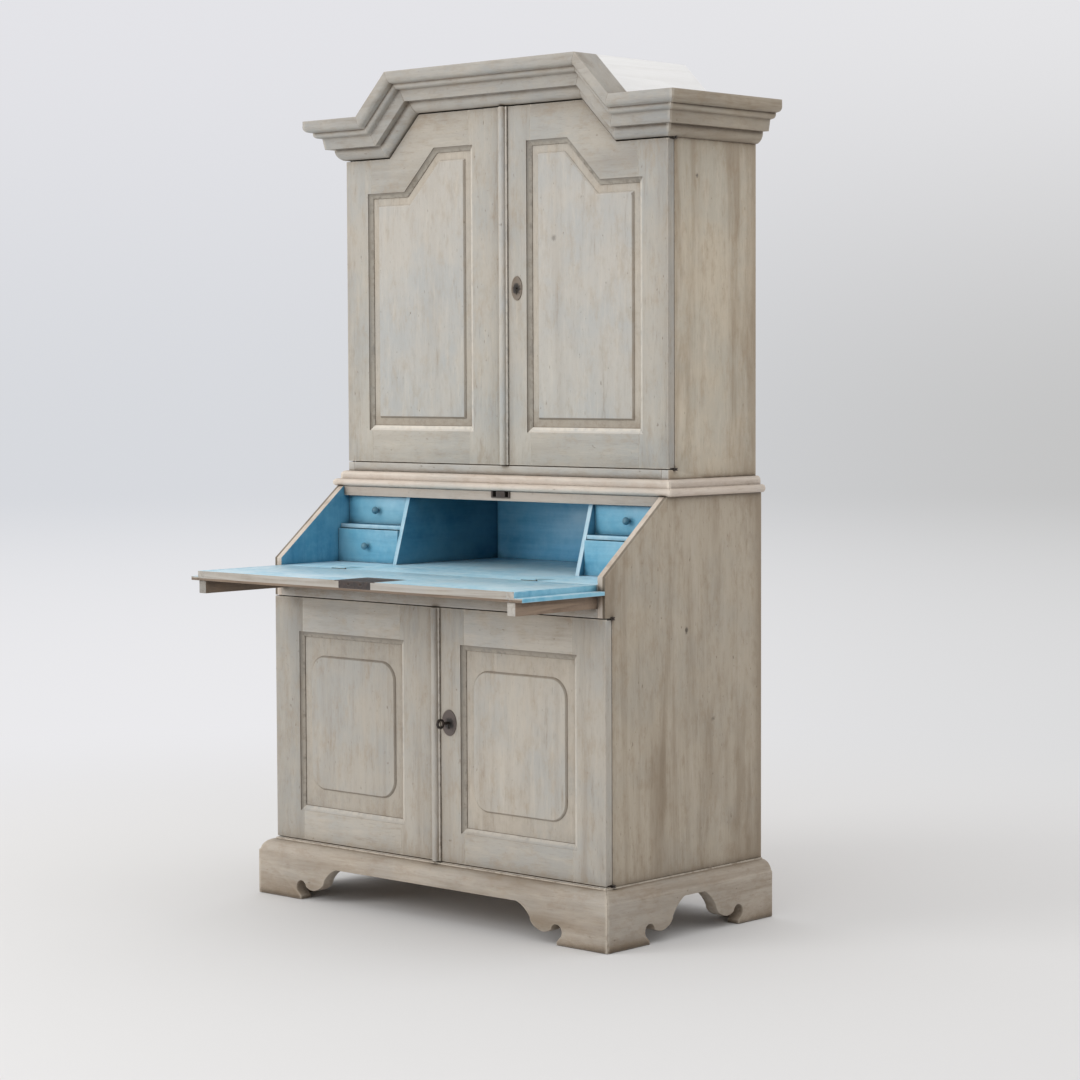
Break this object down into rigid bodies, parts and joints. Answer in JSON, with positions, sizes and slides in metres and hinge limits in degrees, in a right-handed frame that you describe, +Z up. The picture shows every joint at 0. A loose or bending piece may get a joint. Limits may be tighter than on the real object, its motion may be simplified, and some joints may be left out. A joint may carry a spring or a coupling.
{
  "type": "writing desk",
  "caption": "Painted two-part writing desk: hinged fall on sliding lopers before small drawers, a door cupboard below and a bonnet-topped door cupboard above, on a scroll-cut plinth.",
  "frame": {"origin": "on the floor, at the middle of the overall width and of the overall depth with the fall open", "axes": "+X to the right as seen from the front, +Y to the back, -Y the front, +Z up"},
  "size_m": [1.1564, 0.7938, 1.935],
  "materials": {
    "painted_wood": "worn matt distemper paint, pale warm grey",
    "blue_paint": "worn matt paint, grey blue",
    "raw_wood": "bare aged softwood",
    "roof_wood": "pale limed softwood",
    "iron": "dark forged iron"
  },
  "bodies": {
    "case": {"base_left_side": "painted_wood", "base_right_side": "painted_wood", "base_bottom": "raw_wood", "base_back_boards": "raw_wood", "base_top": "raw_wood", "fall_rail": "painted_wood", "writing_bed": "blue_paint", "dust_board": "raw_wood", "loper_rail": "painted_wood", "loper_guides": "raw_wood", "shelves": "raw_wood", "shelf_cleats": "raw_wood", "plinth_front": "painted_wood", "plinth_sides": "painted_wood", "plinth_blocks": "raw_wood", "partitions": "blue_paint", "drawer_dividers": "blue_paint", "interior_back": "blue_paint", "waist_moulding": "painted_wood", "upper_left_side": "painted_wood", "upper_right_side": "painted_wood", "upper_bottom": "raw_wood", "upper_back_boards": "raw_wood", "frieze_board": "painted_wood", "roof_boards": "roof_wood", "front_cornice": "painted_wood", "side_cornices": "painted_wood", "hinge_case_leaves": "iron", "hinge_pins": "iron", "fall_strike": "iron"},
    "fall": {"fall_board": "blue_paint", "fall_end_clamps": "blue_paint", "fall_hinge_leaves": "iron", "fall_lock": "iron"},
    "fall_bolt": {"fall_bolt": "iron"},
    "left_loper": {"left_loper": "raw_wood"},
    "right_loper": {"right_loper": "raw_wood"},
    "upper_left_door": {"upper_left_frame": "painted_wood", "upper_left_panel": "painted_wood", "upper_left_hinge_leaves": "iron"},
    "upper_right_door": {"upper_right_frame": "painted_wood", "upper_right_panel": "painted_wood", "upper_right_hinge_leaves": "iron", "upper_astragal": "painted_wood", "upper_lock": "iron"},
    "upper_bolt": {"upper_bolt": "iron"},
    "base_left_door": {"base_left_frame": "painted_wood", "base_left_panel": "painted_wood", "base_left_hinge_leaves": "iron"},
    "base_right_door": {"base_right_frame": "painted_wood", "base_right_panel": "painted_wood", "base_right_hinge_leaves": "iron", "base_astragal": "painted_wood", "base_lock": "iron"},
    "base_bolt": {"base_bolt": "iron"},
    "base_key": {"base_key": "iron"},
    "upper_left_drawer": {"upper_left_drawer": "blue_paint"},
    "lower_left_drawer": {"lower_left_drawer": "blue_paint"},
    "upper_right_drawer": {"upper_right_drawer": "blue_paint"},
    "lower_right_drawer": {"lower_right_drawer": "blue_paint"}
  },
  "joints": [
    {"name": "fall_hinge", "type": "hinge", "parent": "case", "child": "fall", "pos_m": [0, -0.13845, 0.782], "axis": [-1, 0, 0], "range_deg": [0, 141.2]},
    {"name": "left_loper_slide", "type": "slide", "parent": "case", "child": "left_loper", "axis": [0, 1, 0], "range_m": [0, 0.2549]},
    {"name": "right_loper_slide", "type": "slide", "parent": "case", "child": "right_loper", "axis": [0, 1, 0], "range_m": [0, 0.2549]},
    {"name": "upper_left_door_hinge", "type": "hinge", "parent": "case", "child": "upper_left_door", "pos_m": [-0.5083, 0.11095, 1.42488], "axis": [0, 0, -1], "range_deg": [0, 165]},
    {"name": "upper_right_door_hinge", "type": "hinge", "parent": "case", "child": "upper_right_door", "pos_m": [0.5083, 0.11095, 1.42488], "axis": [0, 0, 1], "range_deg": [0, 165]},
    {"name": "base_left_door_hinge", "type": "hinge", "parent": "case", "child": "base_left_door", "pos_m": [-0.5243, -0.11705, 0.45107], "axis": [0, 0, -1], "range_deg": [0, 165]},
    {"name": "base_right_door_hinge", "type": "hinge", "parent": "case", "child": "base_right_door", "pos_m": [0.5243, -0.11705, 0.45107], "axis": [0, 0, 1], "range_deg": [0, 165]},
    {"name": "upper_left_drawer_slide", "type": "slide", "parent": "case", "child": "upper_left_drawer", "axis": [0, 1, 0], "range_m": [-0.18, 0]},
    {"name": "upper_right_drawer_slide", "type": "slide", "parent": "case", "child": "upper_right_drawer", "axis": [0, 1, 0], "range_m": [-0.18, 0]},
    {"name": "lower_left_drawer_slide", "type": "slide", "parent": "case", "child": "lower_left_drawer", "axis": [0, 1, 0], "range_m": [-0.18, 0]},
    {"name": "lower_right_drawer_slide", "type": "slide", "parent": "case", "child": "lower_right_drawer", "axis": [0, 1, 0], "range_m": [-0.18, 0]},
    {"name": "base_key_turn", "type": "hinge", "parent": "base_right_door", "child": "base_key", "pos_m": [0.055, -0.13805, 0.45107], "axis": [0, 1, 0], "range_deg": [0, 180]},
    {"name": "base_bolt_slide", "type": "slide", "parent": "base_right_door", "child": "base_bolt", "axis": [-1, 0, 0], "range_m": [0, 0.012]},
    {"name": "upper_bolt_slide", "type": "slide", "parent": "upper_right_door", "child": "upper_bolt", "axis": [-1, 0, 0], "range_m": [0, 0.012]},
    {"name": "fall_bolt_slide", "type": "slide", "parent": "fall", "child": "fall_bolt", "axis": [0, 1, 0], "range_m": [-0.014, 0]}
  ],
  "couplings": [
    {"joint": "base_key_turn", "follows": "base_bolt_slide", "rad_per_m": 261.8}
  ]
}
